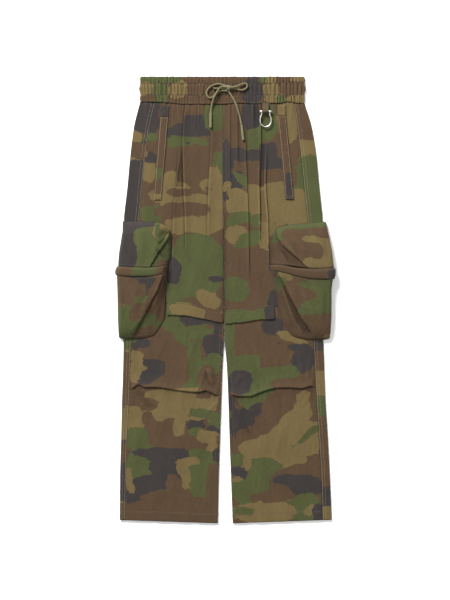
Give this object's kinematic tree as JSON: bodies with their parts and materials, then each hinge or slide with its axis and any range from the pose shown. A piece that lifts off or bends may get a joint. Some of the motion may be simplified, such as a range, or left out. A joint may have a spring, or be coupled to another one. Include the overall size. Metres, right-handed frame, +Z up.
{
  "type": "drawstring cargo trousers",
  "caption": "Camouflage cargo trousers laid flat, with a gathered drawstring waist, bellows thigh pockets, zip-off lower legs and a metal ring on a waist loop.",
  "frame": {"origin": "under the middle of the outline, on the surface that the trousers lie on", "axes": "+X towards the wearer's left, +Y from the hems to the waist, +Z up out of the front"},
  "size_m": [0.5035, 1.0278, 0.0305],
  "materials": {
    "camouflage_cloth": "matt woven cotton twill in green, brown, tan and dark grey patches",
    "elastic_waistband_cloth": "the same cloth gathered over elastic, with stitched channels",
    "brown_loop_cloth": "brown cloth tape",
    "olive_cord": "braided olive cord",
    "olive_cord_tip": "pale olive bound cord end",
    "nickel": "bright nickel plate"
  },
  "bodies": {
    "trousers": {"front_right_upper": "camouflage_cloth", "front_right_lower": "camouflage_cloth", "back_right_upper": "camouflage_cloth", "back_right_lower": "camouflage_cloth", "zip_flap_right": "camouflage_cloth", "hip_welt_right": "camouflage_cloth", "hip_tab_right": "camouflage_cloth", "cargo_flap_right": "camouflage_cloth", "cargo_band_right": "camouflage_cloth", "cargo_pouch_right": "camouflage_cloth", "front_left_upper": "camouflage_cloth", "front_left_lower": "camouflage_cloth", "back_left_upper": "camouflage_cloth", "back_left_lower": "camouflage_cloth", "zip_flap_left": "camouflage_cloth", "hip_welt_left": "camouflage_cloth", "hip_tab_left": "camouflage_cloth", "cargo_flap_left": "camouflage_cloth", "cargo_band_left": "camouflage_cloth", "cargo_pouch_left": "camouflage_cloth", "waistband": "elastic_waistband_cloth", "ring_loop": "brown_loop_cloth", "drawstring_lead": "olive_cord", "drawstring_loop_right": "olive_cord", "drawstring_loop_left": "olive_cord", "drawstring_end_right": "olive_cord", "drawstring_end_left": "olive_cord", "drawstring_knot": "olive_cord", "drawstring_tip_right": "olive_cord_tip", "drawstring_tip_left": "olive_cord_tip"},
    "shackle": {"shackle_bow": "nickel", "shackle_pin": "nickel"}
  },
  "joints": [
    {"name": "shackle_hinge", "type": "hinge", "parent": "trousers", "child": "shackle", "pos_m": [0.0932, 0.4326, 0.012], "axis": [-1, 0, 0], "range_deg": [0, 150]}
  ]
}
